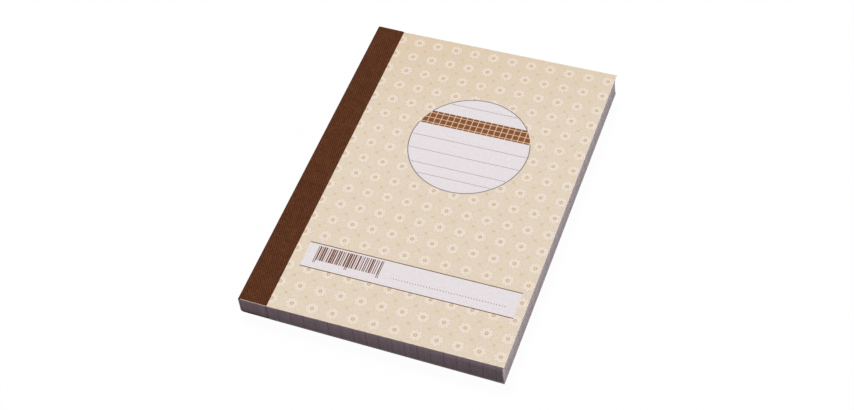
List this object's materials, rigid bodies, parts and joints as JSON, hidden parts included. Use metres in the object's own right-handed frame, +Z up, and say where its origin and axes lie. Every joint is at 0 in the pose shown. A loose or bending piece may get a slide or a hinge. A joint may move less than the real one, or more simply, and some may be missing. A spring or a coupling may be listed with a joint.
{
  "type": "carbonless copy book",
  "caption": "Small side-bound carbonless copy book with a cloth-taped spine, stapled margin, opening card covers, turning original and copy leaves, and a loose writing shield.",
  "frame": {"origin": "middle of the book's width and length, on the surface the closed book lies on", "axes": "+X from the spine to the fore-edge, +Y from the tail to the head, +Z up out of the front cover"},
  "size_m": [0.105, 0.148, 0.011],
  "materials": {
    "tape_cloth": "brown bookbinding cloth tape, fine grain, dull sheen",
    "binding_glue": "dry white bookbinding glue",
    "staple_wire": "drawn galvanised wire",
    "cover_card": "smooth card printed cream, light pattern",
    "original_paper": "white self-copying paper ruled in small squares",
    "copy_paper": "pink self-copying paper ruled in small squares",
    "shield_card": "grey-brown pressed board"
  },
  "bodies": {
    "binding": {"spine_tape": "tape_cloth", "spine_glue": "binding_glue", "head_staple": "staple_wire", "tail_staple": "staple_wire", "front_cover_strip": "cover_card", "back_cover_strip": "cover_card", "original_stubs": "original_paper", "copy_stubs": "copy_paper"},
    "front_cover": {"front_cover": "cover_card"},
    "back_cover": {"back_cover": "cover_card"},
    "writing_shield": {"writing_shield": "shield_card"},
    "first_original": {"set_01_original": "original_paper"},
    "set_01": {"set_01_copy": "copy_paper"},
    "set_02": {"set_02_original": "original_paper", "set_02_copy": "copy_paper"},
    "set_03": {"set_03_original": "original_paper", "set_03_copy": "copy_paper"},
    "set_04": {"set_04_original": "original_paper", "set_04_copy": "copy_paper"},
    "set_05": {"set_05_original": "original_paper", "set_05_copy": "copy_paper"},
    "sets_06_10": {"sets_06_10_originals": "original_paper", "sets_06_10_copies": "copy_paper"},
    "sets_11_15": {"sets_11_15_originals": "original_paper", "sets_11_15_copies": "copy_paper"},
    "sets_16_20": {"sets_16_20_originals": "original_paper", "sets_16_20_copies": "copy_paper"},
    "sets_21_25": {"sets_21_25_originals": "original_paper", "sets_21_25_copies": "copy_paper"},
    "sets_26_30": {"sets_26_30_originals": "original_paper", "sets_26_30_copies": "copy_paper"},
    "sets_31_35": {"sets_31_35_originals": "original_paper", "sets_31_35_copies": "copy_paper"},
    "sets_36_40": {"sets_36_40_originals": "original_paper", "sets_36_40_copies": "copy_paper"},
    "sets_41_45": {"sets_41_45_originals": "original_paper", "sets_41_45_copies": "copy_paper"},
    "sets_46_50": {"sets_46_50_originals": "original_paper", "sets_46_50_copies": "copy_paper"}
  },
  "joints": [
    {"name": "front_cover_hinge", "type": "hinge", "parent": "set_01", "child": "front_cover", "pos_m": [-0.0407, 0, 0.009], "axis": [0, -1, 0], "range_deg": [0, 178]},
    {"name": "back_cover_hinge", "type": "hinge", "parent": "binding", "child": "back_cover", "pos_m": [-0.0407, 0, -0.0001], "axis": [0, 1, 0], "range_deg": [0, 178]},
    {"name": "leaf_turn", "type": "hinge", "parent": "binding", "child": "set_01", "pos_m": [-0.0407, 0, 0.009], "axis": [0, 1, 0], "range_deg": [-176, 0]},
    {"name": "set_02_turn", "type": "hinge", "parent": "binding", "child": "set_02", "pos_m": [-0.0407, 0, 0.009], "axis": [0, 1, 0], "range_deg": [-164, 0]},
    {"name": "set_03_turn", "type": "hinge", "parent": "binding", "child": "set_03", "pos_m": [-0.0407, 0, 0.009], "axis": [0, 1, 0], "range_deg": [-150, 0]},
    {"name": "set_04_turn", "type": "hinge", "parent": "binding", "child": "set_04", "pos_m": [-0.0407, 0, 0.009], "axis": [0, 1, 0], "range_deg": [-134, 0]},
    {"name": "set_05_turn", "type": "hinge", "parent": "binding", "child": "set_05", "pos_m": [-0.0407, 0, 0.009], "axis": [0, 1, 0], "range_deg": [-116, 0]},
    {"name": "sets_06_10_turn", "type": "hinge", "parent": "binding", "child": "sets_06_10", "pos_m": [-0.0407, 0, 0.009], "axis": [0, 1, 0], "range_deg": [-92, 0]},
    {"name": "sets_11_15_turn", "type": "hinge", "parent": "binding", "child": "sets_11_15", "pos_m": [-0.0407, 0, 0.009], "axis": [0, 1, 0], "range_deg": [-68, 0]},
    {"name": "sets_16_20_turn", "type": "hinge", "parent": "binding", "child": "sets_16_20", "pos_m": [-0.0407, 0, 0.009], "axis": [0, 1, 0], "range_deg": [-48, 0]},
    {"name": "sets_21_25_turn", "type": "hinge", "parent": "binding", "child": "sets_21_25", "pos_m": [-0.0407, 0, 0.009], "axis": [0, 1, 0], "range_deg": [-33, 0]},
    {"name": "sets_26_30_turn", "type": "hinge", "parent": "binding", "child": "sets_26_30", "pos_m": [-0.0407, 0, 0.009], "axis": [0, 1, 0], "range_deg": [-22, 0]},
    {"name": "sets_31_35_turn", "type": "hinge", "parent": "binding", "child": "sets_31_35", "pos_m": [-0.0407, 0, 0.009], "axis": [0, 1, 0], "range_deg": [-14, 0]},
    {"name": "sets_36_40_turn", "type": "hinge", "parent": "binding", "child": "sets_36_40", "pos_m": [-0.0407, 0, 0.009], "axis": [0, 1, 0], "range_deg": [-8, 0]},
    {"name": "sets_41_45_turn", "type": "hinge", "parent": "binding", "child": "sets_41_45", "pos_m": [-0.0407, 0, 0.009], "axis": [0, 1, 0], "range_deg": [-4, 0]},
    {"name": "sets_46_50_turn", "type": "hinge", "parent": "binding", "child": "sets_46_50", "pos_m": [-0.0407, 0, 0.009], "axis": [0, 1, 0], "range_deg": [-1.5, 0]},
    {"name": "original_tear_off", "type": "slide", "parent": "set_01", "child": "first_original", "axis": [0.9997, 0, 0.0254], "range_m": [0, 0.11]},
    {"name": "writing_shield_slide", "type": "slide", "parent": "binding", "child": "writing_shield", "axis": [1, 0, 0], "range_m": [0, 0.11]}
  ],
  "couplings": [
    {"joint": "set_02_turn", "follows": "leaf_turn", "ratio": 0.93182},
    {"joint": "set_03_turn", "follows": "leaf_turn", "ratio": 0.85227},
    {"joint": "set_04_turn", "follows": "leaf_turn", "ratio": 0.76136},
    {"joint": "set_05_turn", "follows": "leaf_turn", "ratio": 0.65909},
    {"joint": "sets_06_10_turn", "follows": "leaf_turn", "ratio": 0.52273},
    {"joint": "sets_11_15_turn", "follows": "leaf_turn", "ratio": 0.38636},
    {"joint": "sets_16_20_turn", "follows": "leaf_turn", "ratio": 0.27273},
    {"joint": "sets_21_25_turn", "follows": "leaf_turn", "ratio": 0.1875},
    {"joint": "sets_26_30_turn", "follows": "leaf_turn", "ratio": 0.125},
    {"joint": "sets_31_35_turn", "follows": "leaf_turn", "ratio": 0.079545},
    {"joint": "sets_36_40_turn", "follows": "leaf_turn", "ratio": 0.045455},
    {"joint": "sets_41_45_turn", "follows": "leaf_turn", "ratio": 0.022727},
    {"joint": "sets_46_50_turn", "follows": "leaf_turn", "ratio": 0.0085227}
  ]
}
